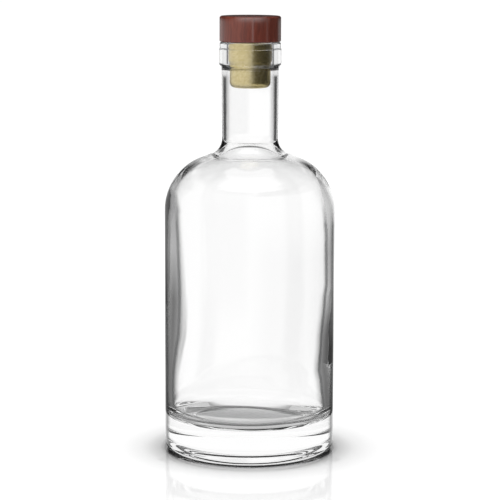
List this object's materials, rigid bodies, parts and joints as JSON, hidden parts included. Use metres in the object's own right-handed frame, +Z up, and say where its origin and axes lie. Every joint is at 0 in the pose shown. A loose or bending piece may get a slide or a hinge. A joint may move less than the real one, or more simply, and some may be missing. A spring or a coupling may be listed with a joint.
{
  "type": "glass bottle with bar-top stopper",
  "caption": "Clear round glass spirits bottle with a thick base, tiered lip and a wooden-headed synthetic cork stopper that pulls out.",
  "frame": {"origin": "centre of the base, on the plane the bottle stands on", "axes": "+Z up along the bottle's axis, towards the stopper; the bottle is round, so X and Y are free"},
  "size_m": [0.09, 0.09, 0.2306],
  "materials": {
    "flint_glass": "clear, fire-polished",
    "lacquered_wood": "dark red-brown stain under satin lacquer",
    "synthetic_cork": "smooth satin khaki moulding"
  },
  "bodies": {
    "glass": {"bottle": "flint_glass"},
    "stopper": {"stopper_head": "lacquered_wood", "stopper_shank": "synthetic_cork"}
  },
  "joints": [
    {"name": "stopper_pull", "type": "slide", "parent": "glass", "child": "stopper", "axis": [0, 0, 1], "range_m": [0, 0.06]}
  ]
}
